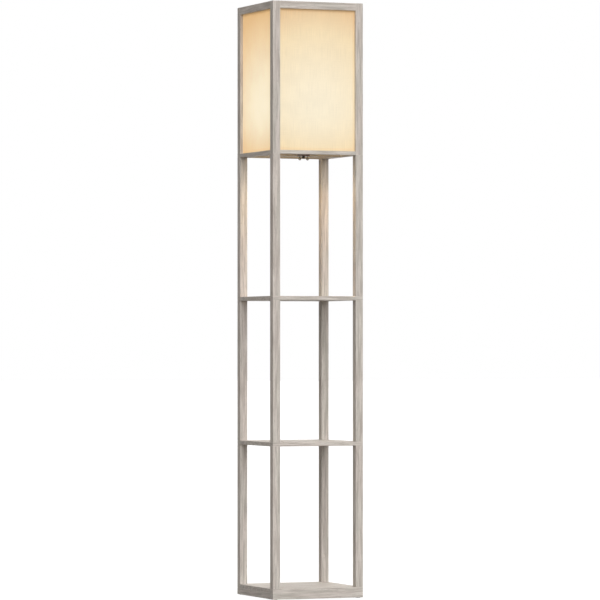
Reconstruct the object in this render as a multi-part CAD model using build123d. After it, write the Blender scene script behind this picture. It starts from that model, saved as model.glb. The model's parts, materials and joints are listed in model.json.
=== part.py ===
from build123d import *
import os
from math import cos, radians, sin

# Square shelf floor lamp: a plinth, three tiers of legs with boards between them, and a
# fabric light box on top. Sizes are in millimetres. The origin is on the floor under the
# middle of the lamp, +Z is up and the front faces -Y.

# ---------------------------------------------------------------- driving dimensions

# Wooden frame
width = 261.0  # left to right, outside the posts
depth = 261.0  # front to back, outside the posts
post_side = 21.0  # square section of legs and posts, and the width of every rail
leg_length = 380.0  # one tier between two boards
head_length = 409.0  # corner posts of the light box
board_thickness = 11.0
plinth_height = 17.0
floor_rail_height = 10.0  # rails under the shade
top_rail_height = 20.0
cross_bar_width = 40.0
edge_round = 0.7
end_chamfer = 0.3

# Glide pads
pad_radius = 7.0
pad_recess = 1.0
pad_standout = 1.0

# Joints of the frame
stud_radius = 3.0
stud_grip = 12.0  # length of a stud in each wooden end
board_hole_play = 0.2
insert_radius = 4.8
insert_length = 11.0
hole_relief = 0.5  # a blind hole is this much deeper than what stands in it
dowel_radius = 2.5
dowel_short_end = 6.0
dowel_long_end = 14.0
floor_dowel_height = 4.0  # above the underside of the floor rails, clear of their grooves
fit = 0.05  # radial clearance of a pin, stud or sleeve in its own hole

# Shade panels, each held in a groove all round
panel_thickness = 1.6
panel_setback = 8.5  # from the outer face of the posts to the face of the fabric
groove_depth = 3.0
panel_play = 0.2  # between a panel and each wall of its groove

# Lamp holder, on the middle of the cross bar
nipple_radius = 5.0
nipple_bore_radius = 3.75
nut_width = 14.0  # across the flats
nut_thickness = 3.0
nut_recess_play = 0.5
holder_radius = 17.0
holder_wall = 2.0
cap_height = 22.0
cap_floor = 3.0
shell_height = 43.0
web_height = 9.0  # underside of the shell's inner floor, above the cap's rim
web_thickness = 6.0
spigot_height = 4.0  # lower end of the shell that stands in the cap
screw_shell_wall = 0.5
screw_shell_height = 24.0
contact_radius = 4.0
contact_base = 1.0
contact_height = 3.0
contact_button_radius = 2.5

# Bulb with a 26 mm screw cap
bulb_cap_radius = 13.15
bulb_thread_play = 0.3  # radial, between the bulb's cap and the screw shell
bulb_tip_radius = 4.7
bulb_tip_height = 2.0
bulb_cone_height = 5.5
bulb_cap_length = 25.0
bulb_cap_wall = 0.8
globe_radius = 30.0
globe_centre_height = 78.0  # above the lower end of the tip contact
globe_wall = 1.0
globe_neck_radius = 13.8
globe_shoulder_angle = 35.0  # degrees below the globe's middle, where its neck begins

# Pull switch, on the front edge of the cross bar
housing_width = 30.0
housing_depth = 13.5
housing_height = 23.0
housing_wall = 1.5
housing_corner_round = 1.0
cover_thickness = 1.5
pull_spacing = 22.4  # between the two pulls
pull_travel = 8.0
plunger_radius = 2.0
plunger_thickness = 3.0
pull_rod_radius = 0.8
bead_radius = 1.1
bead_pitch = 2.6
ball_radius = 4.0
ball_drop = 8.0  # from the underside of the housing to the middle of a ball at rest
guide_radius = 2.3
guide_bore_radius = 1.5
guide_flange_radius = 3.1
guide_flange_thickness = 1.0
guide_inner_length = 1.5  # part of a guide that stands up inside the housing
spring_solid_length = 3.0  # pressed flat at the end of the travel
spring_mean_radius = 1.6
spring_wire_radius = 0.25
spring_turns = 5
spring_seat_gap = 0.05
contact_strip_length = 12.5
contact_strip_width = 3.0
contact_strip_thickness = 2.0
gland_radius = 3.8
gland_bore_radius = 2.7
gland_flange_radius = 4.7
gland_flange_thickness = 1.5
gland_drop = 6.5  # below the underside of the housing
screw_spacing = 12.0
screw_radius = 1.3
screw_length = 10.0  # in the wood
screw_head_radius = 2.6
screw_head_thickness = 1.2
screw_height = 5.0  # above the underside of the housing

# Leads from the switch to the lamp holder
lead_radius = 1.1
lead_spacing = 6.0
lead_bend_radius = 3.5
lead_hole_play = 0.1
lead_rise_distance = 8.0  # from the lamp's axis to the upright stretch of a lead

# ---------------------------------------------------------------- derived levels and places

plinth_bottom = pad_standout
plinth_top = plinth_bottom + plinth_height
bottom_board_top = plinth_top + board_thickness
lower_shelf_bottom = bottom_board_top + leg_length
lower_shelf_top = lower_shelf_bottom + board_thickness
upper_shelf_bottom = lower_shelf_top + leg_length
upper_shelf_top = upper_shelf_bottom + board_thickness
box_bottom = upper_shelf_top + leg_length
box_floor_top = box_bottom + floor_rail_height
lamp_top = box_bottom + head_length
top_rail_bottom = lamp_top - top_rail_height

post_x = width / 2 - post_side / 2
post_y = depth / 2 - post_side / 2
corners = {
    "front_left": (-post_x, -post_y),
    "front_right": (post_x, -post_y),
    "back_left": (-post_x, post_y),
    "back_right": (post_x, post_y),
}

# Each side is modelled as the front one and turned by its angle, in degrees
side_angles = {"front": 0, "right": 90, "back": 180, "left": 270}

groove_width = panel_thickness + 2 * panel_play
stud_length = 2 * stud_grip + board_thickness

holder_cap_top = box_floor_top + cap_height
holder_shell_top = holder_cap_top + shell_height
web_bottom = holder_cap_top + web_height
web_top = web_bottom + web_thickness
screw_shell_inner_radius = bulb_cap_radius + bulb_thread_play
screw_shell_outer_radius = screw_shell_inner_radius + screw_shell_wall
holder_inner_radius = screw_shell_outer_radius + fit
cap_inner_radius = holder_radius - holder_wall

bulb_bottom = web_top + contact_height
bulb_cap_bottom = bulb_bottom + bulb_tip_height
bulb_sleeve_bottom = bulb_cap_bottom + bulb_cone_height
bulb_cap_top = bulb_cap_bottom + bulb_cap_length
globe_centre = bulb_bottom + globe_centre_height

bar_front = -cross_bar_width / 2
housing_front = bar_front - housing_depth
housing_bottom = box_bottom
housing_top = housing_bottom + housing_height
housing_floor = housing_bottom + housing_wall
housing_ceiling = housing_top - housing_wall
pull_y = bar_front - (housing_depth + cover_thickness) / 2
guide_top = housing_floor + guide_inner_length
plunger_bottom = guide_top + pull_travel + spring_solid_length
ball_centre = housing_bottom - ball_drop
lead_height = housing_ceiling - contact_strip_thickness - lead_radius - lead_hole_play


# ---------------------------------------------------------------- helpers


def block(low, high):
    """Box from its lowest corner to its highest."""
    size = [b - a for a, b in zip(low, high)]
    middle = [(a + b) / 2 for a, b in zip(low, high)]
    return Pos(*middle) * Box(*size)


def rod(radius, start, end):
    """Cylinder from one point to another."""
    line = Vector(*end) - Vector(*start)
    stand = (Align.CENTER, Align.CENTER, Align.MIN)
    return Plane(origin=start, z_dir=line) * Cylinder(radius, line.length, align=stand)


def lathe(points):
    """Solid turned about the Z axis from an outline of (radius, height) points."""
    outline = Polyline(*[(r, 0, z) for r, z in points], close=True)
    return revolve(make_face(outline), Axis.Z)


def sleeve(outer_radius, inner_radius, low, high):
    """Upright tube on the Z axis."""
    outline = [(inner_radius, low), (outer_radius, low), (outer_radius, high), (inner_radius, high)]
    return lathe(outline)


def eased(bar, long_axis):
    """Wooden bar with rounded long edges and lightly chamfered ends."""
    bar = fillet(bar.edges().filter_by(long_axis), edge_round)
    end_faces = bar.faces().sort_by(long_axis)
    bar = chamfer(end_faces[0].edges() + end_faces[-1].edges(), end_chamfer)
    return bar


def turn(shape, angle):
    """The same piece on another side of the lamp."""
    return Rot(0, 0, angle) * shape


def turn_point(point, angle):
    return Vector(*point).rotate(Axis.Z, angle)


def side_frame(side):
    """Angle of a side, its own span and the size across it."""
    span, across = (width, depth) if side in ("front", "back") else (depth, width)
    return side_angles[side], span, across


def cut(shape, holes):
    """Shape with each of the holes taken out of it."""
    for hole in holes:
        shape = shape - hole
    return shape


def save(shape, name):
    export_step(shape, f"parts/{name}.step")


# ---------------------------------------------------------------- fasteners of the frame


def stud_holes(x, y, joint_bottom, joint_top, upper_grip):
    """Holes of one stud joint: the insert's below the joint, the stud's above it."""
    insert_hole = rod(insert_radius + fit, (x, y, joint_bottom - insert_length), (x, y, joint_bottom))
    lower_end = joint_bottom - stud_grip - hole_relief
    relief_hole = rod(stud_radius + hole_relief, (x, y, lower_end), (x, y, joint_bottom))
    upper_end = joint_top + upper_grip + hole_relief
    stud_hole = rod(stud_radius + fit, (x, y, joint_top), (x, y, upper_end))
    return [insert_hole, relief_hole], [stud_hole]


def stud_joints():
    """Every stud joint: corner place, underside, top and the stud's length above it."""
    boards = [
        (plinth_top, bottom_board_top),
        (lower_shelf_bottom, lower_shelf_top),
        (upper_shelf_bottom, upper_shelf_top),
    ]
    joints = []
    for x, y in corners.values():
        for bottom, top in boards:
            joints.append((x, y, bottom, top, stud_grip))
        joints.append((x, y, box_bottom, box_bottom, stud_length - stud_grip))
    return joints


def stud_and_insert(x, y, joint_bottom):
    stud = rod(stud_radius, (x, y, joint_bottom - stud_grip), (x, y, joint_bottom - stud_grip + stud_length))
    insert = rod(insert_radius, (x, y, joint_bottom - insert_length), (x, y, joint_bottom))
    bore = rod(stud_radius + fit, (x, y, joint_bottom - insert_length), (x, y, joint_bottom))
    return stud, insert - bore


def side_dowels(height):
    """Dowels between the rails of one level and the posts: short end, joint and long end."""
    dowels = []
    for angle, span, across in map(side_frame, side_angles):
        y = -across / 2 + post_side / 2
        for way in (-1, 1):
            joint = way * (span / 2 - post_side)
            short_end = turn_point((joint + way * dowel_short_end, y, height), angle)
            long_end = turn_point((joint - way * dowel_long_end, y, height), angle)
            dowels.append((short_end, long_end))
    return dowels


def plinth_dowels():
    """Upright dowels between the plinth rails and the bottom board."""
    dowels = []
    for angle, span, across in map(side_frame, side_angles):
        y = -across / 2 + post_side / 2
        for x in (-span / 4, span / 4):
            short_end = turn_point((x, y, plinth_top + dowel_short_end), angle)
            long_end = turn_point((x, y, plinth_top - dowel_long_end), angle)
            dowels.append((short_end, long_end))
    return dowels


def cross_bar_dowels():
    """Two dowels at each end of the cross bar."""
    dowels = []
    height = box_bottom + floor_dowel_height
    for way in (-1, 1):
        joint = way * (width / 2 - post_side)
        for y in (-cross_bar_width / 4, cross_bar_width / 4):
            dowels.append((
                Vector(joint + way * dowel_short_end, y, height),
                Vector(joint - way * dowel_long_end, y, height),
            ))
    return dowels


def dowel_holes(dowels):
    """Holes a little longer and wider than the dowels."""
    holes = []
    for short_end, long_end in dowels:
        step = (short_end - long_end).normalized() * hole_relief
        holes.append(rod(dowel_radius + fit, long_end - step, short_end + step))
    return holes


floor_dowels = side_dowels(box_bottom + floor_dowel_height)
top_dowels = side_dowels(lamp_top - top_rail_height / 2)


# ---------------------------------------------------------------- wooden frame


def leg(x, y, low):
    high = low + leg_length
    half = post_side / 2
    body = eased(block((x - half, y - half, low), (x + half, y + half, high)), Axis.Z)
    top_holes, _ = stud_holes(x, y, high, high, stud_grip)
    _, bottom_holes = stud_holes(x, y, low, low, stud_grip)
    return cut(body, top_holes + bottom_holes)


def panel_groove(angle, span, across, low, high):
    """Space of one shade panel with its play, in the posts and rails around it."""
    reach = span / 2 - post_side + groove_depth
    front = -across / 2 + panel_setback - panel_play
    return turn(block((-reach, front, low), (reach, front + groove_width, high)), angle)


def head_post(x, y):
    half = post_side / 2
    body = eased(block((x - half, y - half, box_bottom), (x + half, y + half, lamp_top)), Axis.Z)
    _, bottom_holes = stud_holes(x, y, box_bottom, box_bottom, stud_length - stud_grip)
    low = box_floor_top - groove_depth
    high = top_rail_bottom + groove_depth
    grooves = [panel_groove(*side_frame(side), low, high) for side in side_angles]
    return cut(body, bottom_holes + grooves + dowel_holes(floor_dowels + top_dowels))


def board(low):
    high = low + board_thickness
    slab = block((-width / 2, -depth / 2, low), (width / 2, depth / 2, high))
    slab = fillet(slab.edges(), edge_round)
    holes = [rod(stud_radius + board_hole_play, (x, y, low), (x, y, high)) for x, y in corners.values()]
    return cut(slab, holes)


def bottom_board():
    return cut(board(plinth_top), dowel_holes(plinth_dowels()))


def rail(angle, span, across, low, high):
    """Rail of one side, between the posts."""
    reach = span / 2 - post_side
    body = block((-reach, -across / 2, low), (reach, -across / 2 + post_side, high))
    return turn(eased(body, Axis.X), angle)


def plinth_rail(side):
    angle, span, across = side_frame(side)
    full_length = side in ("front", "back")
    rail_span = span + 2 * post_side if full_length else span
    body = rail(angle, rail_span, across, plinth_bottom, plinth_top)
    holes = dowel_holes(plinth_dowels())
    if full_length:
        for x, y in corners.values():
            insert_holes, _ = stud_holes(x, y, plinth_top, plinth_top, stud_grip)
            pad_hole = rod(pad_radius + fit, (x, y, plinth_bottom), (x, y, plinth_bottom + pad_recess))
            holes += insert_holes + [pad_hole]
    return cut(body, holes)


def box_floor_rail(side):
    angle, span, across = side_frame(side)
    body = rail(angle, span, across, box_bottom, box_floor_top)
    groove = panel_groove(angle, span, across, box_floor_top - groove_depth, box_floor_top)
    return cut(body, [groove] + dowel_holes(floor_dowels + cross_bar_dowels()))


def box_top_rail(side):
    angle, span, across = side_frame(side)
    body = rail(angle, span, across, top_rail_bottom, lamp_top)
    groove = panel_groove(angle, span, across, top_rail_bottom, top_rail_bottom + groove_depth)
    return cut(body, [groove] + dowel_holes(top_dowels))


def shade_panel(side):
    angle, span, across = side_frame(side)
    reach = span / 2 - post_side + groove_depth - panel_play
    front = -across / 2 + panel_setback
    low = box_floor_top - groove_depth + panel_play
    high = top_rail_bottom + groove_depth - panel_play
    return turn(block((-reach, front, low), (reach, front + panel_thickness, high)), angle)


def housing_screw_places():
    return [(x, housing_bottom + screw_height) for x in (-screw_spacing / 2, screw_spacing / 2)]


def cross_bar():
    reach = width / 2 - post_side
    half = cross_bar_width / 2
    body = eased(block((-reach, -half, box_bottom), (reach, half, box_floor_top)), Axis.X)
    nipple_hole = rod(nipple_radius + fit, (0, 0, box_bottom), (0, 0, box_floor_top))
    recess_radius = nut_width / 3**0.5 + nut_recess_play
    recess_depth = nut_thickness + nut_recess_play
    nut_recess = rod(recess_radius, (0, 0, box_bottom), (0, 0, box_bottom + recess_depth))
    screw_holes = []
    for x, z in housing_screw_places():
        end = bar_front + screw_length + hole_relief
        screw_holes.append(rod(screw_radius + fit, (x, bar_front, z), (x, end, z)))
    return cut(body, [nipple_hole, nut_recess] + screw_holes + dowel_holes(cross_bar_dowels()))


def glide_pads():
    bottom = plinth_bottom - pad_standout
    return [rod(pad_radius, (x, y, bottom), (x, y, plinth_bottom + pad_recess)) for x, y in corners.values()]


# ---------------------------------------------------------------- lamp holder


def holder_nipple():
    low = box_bottom + nut_recess_play
    high = box_floor_top + cap_floor + nut_thickness + nut_recess_play
    return sleeve(nipple_radius, nipple_bore_radius, low, high)


def holder_nuts():
    """One nut in the bar's recess and one inside the cap."""
    lower = box_bottom + nut_recess_play
    upper = box_floor_top + cap_floor
    nuts = []
    for low in (lower, upper):
        outline = RegularPolygon(nut_width / 2, 6, major_radius=False)
        nut = Pos(0, 0, low) * extrude(outline, nut_thickness)
        nuts.append(nut - rod(nipple_radius + fit, (0, 0, low), (0, 0, low + nut_thickness)))
    return nuts


def lead_holes():
    """Holes that the two leads pass through on their way to the lamp holder."""
    holes = []
    for x in (-lead_spacing / 2, lead_spacing / 2):
        start = (x, housing_front, lead_height)
        end = (x, -lead_rise_distance, lead_height)
        holes.append(rod(lead_radius + lead_hole_play, start, end))
    return holes


def holder_cap():
    outline = [
        (nipple_radius + fit, box_floor_top),
        (holder_radius, box_floor_top),
        (holder_radius, holder_cap_top),
        (cap_inner_radius, holder_cap_top),
        (cap_inner_radius, box_floor_top + cap_floor),
        (nipple_radius + fit, box_floor_top + cap_floor),
    ]
    return cut(lathe(outline), lead_holes())


def holder_shell():
    """Shell with an inner floor, standing on the cap with a spigot in its mouth."""
    spigot_radius = cap_inner_radius - fit
    outline = [
        (0, web_bottom),
        (spigot_radius - holder_wall, web_bottom),
        (spigot_radius - holder_wall, holder_cap_top - spigot_height),
        (spigot_radius, holder_cap_top - spigot_height),
        (spigot_radius, holder_cap_top),
        (holder_radius, holder_cap_top),
        (holder_radius, holder_shell_top),
        (holder_inner_radius, holder_shell_top),
        (holder_inner_radius, web_top),
        (0, web_top),
    ]
    return lathe(outline)


def screw_shell():
    """Sheet metal thread with a turned-in foot."""
    foot_radius = contact_radius + contact_height
    outline = [
        (foot_radius, web_top),
        (screw_shell_outer_radius, web_top),
        (screw_shell_outer_radius, web_top + screw_shell_height),
        (screw_shell_inner_radius, web_top + screw_shell_height),
        (screw_shell_inner_radius, web_top + screw_shell_wall),
        (foot_radius, web_top + screw_shell_wall),
    ]
    return lathe(outline)


def centre_contact():
    base = rod(contact_radius, (0, 0, web_top), (0, 0, web_top + contact_base))
    button = rod(contact_button_radius, (0, 0, web_top), (0, 0, web_top + contact_height))
    return base + button


# ---------------------------------------------------------------- bulb


def bulb_tip():
    return rod(bulb_tip_radius, (0, 0, bulb_bottom), (0, 0, bulb_cap_bottom))


def bulb_screw_cap():
    inner_radius = bulb_cap_radius - bulb_cap_wall
    inner_floor = bulb_sleeve_bottom + bulb_cap_wall
    outline = [
        (0, bulb_cap_bottom),
        (bulb_tip_radius, bulb_cap_bottom),
        (bulb_cap_radius, bulb_sleeve_bottom),
        (bulb_cap_radius, bulb_cap_top),
        (inner_radius, bulb_cap_top),
        (inner_radius, inner_floor),
        (0, inner_floor),
    ]
    return lathe(outline)


def globe_solid(inset):
    """Pear-shaped solid, smaller all round by the inset."""
    radius = globe_radius - inset
    neck_radius = globe_neck_radius - inset
    angle = radians(globe_shoulder_angle)
    top = (0, 0, globe_centre + radius)
    middle = (radius, 0, globe_centre)
    shoulder_radius = radius * cos(angle)
    shoulder_height = globe_centre - radius * sin(angle)
    shoulder = (shoulder_radius, 0, shoulder_height)
    neck_drop = (shoulder_radius - neck_radius) * cos(angle) / sin(angle)
    neck = (neck_radius, 0, shoulder_height - neck_drop)
    outline = [
        ThreePointArc(top, (radius * sin(angle), 0, globe_centre + radius * cos(angle)), middle),
        ThreePointArc(middle, (radius * cos(angle / 2), 0, globe_centre - radius * sin(angle / 2)), shoulder),
        Line(shoulder, neck),
        Line(neck, (neck_radius, 0, bulb_cap_top)),
        Line((neck_radius, 0, bulb_cap_top), (0, 0, bulb_cap_top)),
        Line((0, 0, bulb_cap_top), top),
    ]
    return revolve(make_face(outline), Axis.Z)


def bulb_globe():
    return globe_solid(0) - globe_solid(globe_wall)


# ---------------------------------------------------------------- pull switch


def pull_places():
    return {"left": -pull_spacing / 2, "right": pull_spacing / 2}


def switch_housing():
    """Case that is open to the front, with holes for all that passes through it."""
    half = housing_width / 2
    case = block((-half, housing_front, housing_bottom), (half, bar_front, housing_top))
    case = fillet(case.edges().filter_by(Axis.Y), housing_corner_round)
    hollow = block(
        (-half + housing_wall, housing_front, housing_floor),
        (half - housing_wall, bar_front - housing_wall, housing_ceiling),
    )
    holes = [hollow, rod(gland_radius + fit, (0, pull_y, housing_bottom), (0, pull_y, housing_floor))]
    for x in pull_places().values():
        holes.append(rod(guide_radius + fit, (x, pull_y, housing_bottom), (x, pull_y, housing_floor)))
    for x, z in housing_screw_places():
        holes.append(rod(screw_radius + fit, (x, bar_front - housing_wall, z), (x, bar_front, z)))
    return cut(case, holes + lead_holes())


def switch_cover():
    half = housing_width / 2
    front = housing_front - cover_thickness
    plate = block((-half, front, housing_bottom), (half, housing_front, housing_top))
    plate = fillet(plate.edges().filter_by(Axis.Y), housing_corner_round)
    return chamfer(plate.faces().sort_by(Axis.Y)[0].edges(), end_chamfer)


def housing_screws():
    screws = []
    seat = bar_front - housing_wall
    for x, z in housing_screw_places():
        shank = rod(screw_radius, (x, seat, z), (x, bar_front + screw_length, z))
        head = rod(screw_head_radius, (x, seat - screw_head_thickness, z), (x, seat, z))
        screws.append(shank + head)
    return screws


def pull_guides():
    guides = []
    for x in pull_places().values():
        outline = [
            (guide_bore_radius, housing_bottom - guide_flange_thickness),
            (guide_flange_radius, housing_bottom - guide_flange_thickness),
            (guide_flange_radius, housing_bottom),
            (guide_radius, housing_bottom),
            (guide_radius, guide_top),
            (guide_bore_radius, guide_top),
        ]
        guides.append(Pos(x, pull_y, 0) * lathe(outline))
    return guides


def pull(x):
    """Plunger, rod, the beads below the guide and the ball, as one piece."""
    top = plunger_bottom + plunger_thickness
    body = rod(plunger_radius, (x, pull_y, plunger_bottom), (x, pull_y, top))
    body += rod(pull_rod_radius, (x, pull_y, ball_centre), (x, pull_y, plunger_bottom))
    bead_height = ball_centre + ball_radius
    while bead_height < housing_bottom - guide_flange_thickness - bead_radius:
        body += Pos(x, pull_y, bead_height) * Sphere(bead_radius)
        bead_height += bead_pitch
    return body + Pos(x, pull_y, ball_centre) * Sphere(ball_radius)


def pull_spring(x):
    """Compression spring between a guide and its plunger."""
    low = guide_top + spring_seat_gap + spring_wire_radius
    high = plunger_bottom - spring_seat_gap - spring_wire_radius
    coil = Helix((high - low) / spring_turns, high - low, spring_mean_radius)
    section = Plane(origin=coil @ 0, z_dir=coil % 0) * Circle(spring_wire_radius)
    return Pos(x, pull_y, low) * sweep(section, path=coil, is_frenet=True)


def switch_contacts():
    """A brass strip over each plunger, under the ceiling of the housing."""
    strips = []
    for way in (-1, 1):
        inner = way * (pull_spacing / 2 + plunger_radius - contact_strip_length)
        outer = way * (pull_spacing / 2 + plunger_radius)
        low = (min(inner, outer), pull_y - contact_strip_width / 2, housing_ceiling - contact_strip_thickness)
        high = (max(inner, outer), pull_y + contact_strip_width / 2, housing_ceiling)
        strips.append(block(low, high))
    return strips


def cord_gland():
    """Black sleeve that the supply cord enters by, held by a flange inside."""
    outline = [
        (gland_bore_radius, housing_bottom - gland_drop),
        (gland_radius, housing_bottom - gland_drop),
        (gland_radius, housing_floor),
        (gland_flange_radius, housing_floor),
        (gland_flange_radius, housing_floor + gland_flange_thickness),
        (gland_bore_radius, housing_floor + gland_flange_thickness),
    ]
    return Pos(0, pull_y, 0) * lathe(outline)


def holder_leads():
    """Two wires from the contact strips, over the bar and up to the holder's inner floor."""
    leads = []
    for x in (-lead_spacing / 2, lead_spacing / 2):
        start = (x, pull_y - contact_strip_width / 2, lead_height)
        corner = (x, -lead_rise_distance, lead_height)
        end = (x, -lead_rise_distance, web_bottom)
        route = FilletPolyline(start, corner, end, radius=lead_bend_radius)
        section = Plane(origin=start, z_dir=(0, 1, 0)) * Circle(lead_radius)
        leads.append(sweep(section, path=route))
    return leads


# ---------------------------------------------------------------- write every piece

os.makedirs("parts", exist_ok=True)

for side in side_angles:
    save(plinth_rail(side), f"plinth_rail_{side}")
    save(box_floor_rail(side), f"box_floor_rail_{side}")
    save(box_top_rail(side), f"box_top_rail_{side}")
    save(shade_panel(side), f"shade_panel_{side}")

tier_bottoms = {"lower": bottom_board_top, "middle": lower_shelf_top, "upper": upper_shelf_top}
for corner, (x, y) in corners.items():
    save(head_post(x, y), f"head_post_{corner}")
    for tier, low in tier_bottoms.items():
        save(leg(x, y, low), f"{tier}_leg_{corner}")

save(bottom_board(), "bottom_board")
save(board(lower_shelf_bottom), "lower_shelf")
save(board(upper_shelf_bottom), "upper_shelf")
save(cross_bar(), "cross_bar")
save(Compound(children=glide_pads()), "glide_pads")

studs_and_inserts = [stud_and_insert(x, y, bottom) for x, y, bottom, _, _ in stud_joints()]
save(Compound(children=[stud for stud, _ in studs_and_inserts]), "tier_studs")
save(Compound(children=[insert for _, insert in studs_and_inserts]), "threaded_inserts")
all_dowels = floor_dowels + top_dowels + plinth_dowels() + cross_bar_dowels()
save(Compound(children=[rod(dowel_radius, *ends) for ends in all_dowels]), "rail_dowels")

save(holder_nipple(), "holder_nipple")
save(Compound(children=holder_nuts()), "holder_nuts")
save(holder_cap(), "holder_cap")
save(holder_shell(), "holder_shell")
save(screw_shell(), "screw_shell")
save(centre_contact(), "centre_contact")

save(bulb_tip(), "bulb_tip")
save(bulb_screw_cap(), "bulb_screw_cap")
save(bulb_globe(), "bulb_globe")

save(switch_housing(), "switch_housing")
save(switch_cover(), "switch_cover")
save(Compound(children=housing_screws()), "housing_screws")
save(Compound(children=pull_guides()), "pull_guides")
save(Compound(children=switch_contacts()), "switch_contacts")
save(cord_gland(), "cord_gland")
save(Compound(children=holder_leads()), "holder_leads")
for name, x in pull_places().items():
    save(pull(x), f"{name}_pull")
    save(pull_spring(x), f"{name}_pull_spring")
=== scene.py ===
import json
from math import cos, pi, radians, sin, tau

import bmesh
import bpy
from mathutils import Matrix, Vector, noise

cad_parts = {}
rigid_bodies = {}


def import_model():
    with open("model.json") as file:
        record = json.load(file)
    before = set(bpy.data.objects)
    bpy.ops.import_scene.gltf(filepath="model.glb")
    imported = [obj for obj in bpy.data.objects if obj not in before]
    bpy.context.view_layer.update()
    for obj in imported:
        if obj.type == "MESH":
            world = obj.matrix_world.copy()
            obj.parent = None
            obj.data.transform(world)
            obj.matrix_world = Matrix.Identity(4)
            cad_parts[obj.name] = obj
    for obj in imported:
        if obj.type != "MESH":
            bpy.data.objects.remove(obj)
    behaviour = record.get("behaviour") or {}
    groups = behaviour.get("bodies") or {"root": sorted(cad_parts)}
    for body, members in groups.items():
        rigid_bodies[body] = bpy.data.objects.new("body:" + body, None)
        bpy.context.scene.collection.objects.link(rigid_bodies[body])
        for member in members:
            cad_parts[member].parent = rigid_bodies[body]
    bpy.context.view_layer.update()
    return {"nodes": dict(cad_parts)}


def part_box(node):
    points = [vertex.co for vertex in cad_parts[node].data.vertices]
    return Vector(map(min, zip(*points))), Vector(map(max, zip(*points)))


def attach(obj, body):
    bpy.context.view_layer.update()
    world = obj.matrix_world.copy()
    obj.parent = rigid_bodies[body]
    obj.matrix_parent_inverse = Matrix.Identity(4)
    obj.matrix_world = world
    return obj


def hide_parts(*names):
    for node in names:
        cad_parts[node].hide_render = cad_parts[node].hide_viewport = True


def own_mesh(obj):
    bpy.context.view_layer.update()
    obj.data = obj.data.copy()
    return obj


bl_info = {
    "name": "Shelf floor lamp",
    "version": (1, 0, 0),
    "blender": (4, 5, 0),
    "location": "3D View > Sidebar > Shelf lamp",
    "description": "Dresses the square shelf floor lamp: limed oak, linen, bulb and pull switch",
    "category": "Object",
}

for leftover in list(bpy.data.objects):
    bpy.data.objects.remove(leftover)

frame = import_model()
NODES = frame["nodes"]

MM = 0.001
WHITE = (1, 1, 1, 1)
SIDE_ANGLES = {"front": 0, "right": 90, "back": 180, "left": 270}
CORNER_NAMES = ("front_left", "front_right", "back_left", "back_right")


# ---------------- sizes and colours


def linear(hex_colour):
    """sRGB hex colour as the linear values that shaders take."""
    channels = [int(hex_colour[i : i + 2], 16) / 255 for i in (1, 3, 5)]
    return [c / 12.92 if c <= 0.04045 else ((c + 0.055) / 1.055) ** 2.4 for c in channels]


def colour_property(name, description, hex_colour):
    return bpy.props.FloatVectorProperty(
        name=name,
        description=description,
        subtype="COLOR",
        size=3,
        min=0.0,
        max=1.0,
        default=linear(hex_colour),
    )


def length_property(name, description, millimetres):
    return bpy.props.FloatProperty(
        name=name,
        description=description,
        unit="LENGTH",
        subtype="DISTANCE",
        min=0.0,
        precision=5,
        default=millimetres * MM,
    )


def number_property(name, description, number, **limits):
    return bpy.props.FloatProperty(
        name=name, description=description, default=number, **{"min": 0.0, **limits}
    )


class ShelfLampWood(bpy.types.PropertyGroup):
    """Limed oak of the posts, rails and boards"""

    light: colour_property("Light grain", "Limed early wood", "#DED5CC")
    dark: colour_property("Dark grain", "Late wood between the limed bands", "#A39990")
    pore: colour_property("Pores", "Open pores that the lime didn't fill", "#91867B")
    blush: colour_property("Warm patches", "Slightly pink patches of the stain", "#D4C8BF")
    moss: colour_property("Cool patches", "Slightly green patches of the stain", "#CBC9BD")
    grain_spacing: length_property("Grain spacing", "Distance between two streaks of grain", 2.6)
    roughness: number_property("Roughness", "Matt lacquer over the stain", 0.5, max=1.0)


class ShelfLampShade(bpy.types.PropertyGroup):
    """Linen of the light box and the light that comes through it"""

    cloth: colour_property(
        "Cloth", "What the cloth reflects; it lets the rest of the light through", "#9E9588"
    )
    glow_near: colour_property("Glow near the bulb", "Light through the nearest cloth", "#CEC4AA")
    glow_middle: colour_property(
        "Glow further off", "Light through the front and back shades, halfway up", "#C7B185"
    )
    glow_far: colour_property(
        "Glow at the top", "Light through the top of the front and back shades", "#B99258"
    )
    side_glow_middle: colour_property(
        "Side glow further off", "Light through the left and right shades, halfway up", "#C2A67C"
    )
    side_glow_far: colour_property(
        "Side glow at the top", "Light through the top of the left and right shades", "#B99461"
    )
    thread_spacing: length_property("Thread spacing", "Distance between two threads", 0.8)
    hem: length_property("Hem", "Width of the hem that shows inside the rails", 7.5)


class ShelfLampFittings(bpy.types.PropertyGroup):
    """Bulb, lamp holder and pull switch"""

    bulb_glass: colour_property("Bulb glass", "Opal glass", "#EFE6D2")
    bulb_glow: colour_property("Bulb glow", "Light of the lit bulb", "#FFE2B4")
    holder: colour_property("Lamp holder", "Black phenolic", "#1F1C1A")
    switch: colour_property("Switch", "Dark brown phenolic", "#5C4535")
    rubber: colour_property("Cord gland", "Dark brown rubber", "#332C27")
    nickel: colour_property("Black nickel", "Plating of the pulls and their guides", "#8B857C")
    felt: colour_property("Felt", "Glide pads", "#5B554F")


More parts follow.
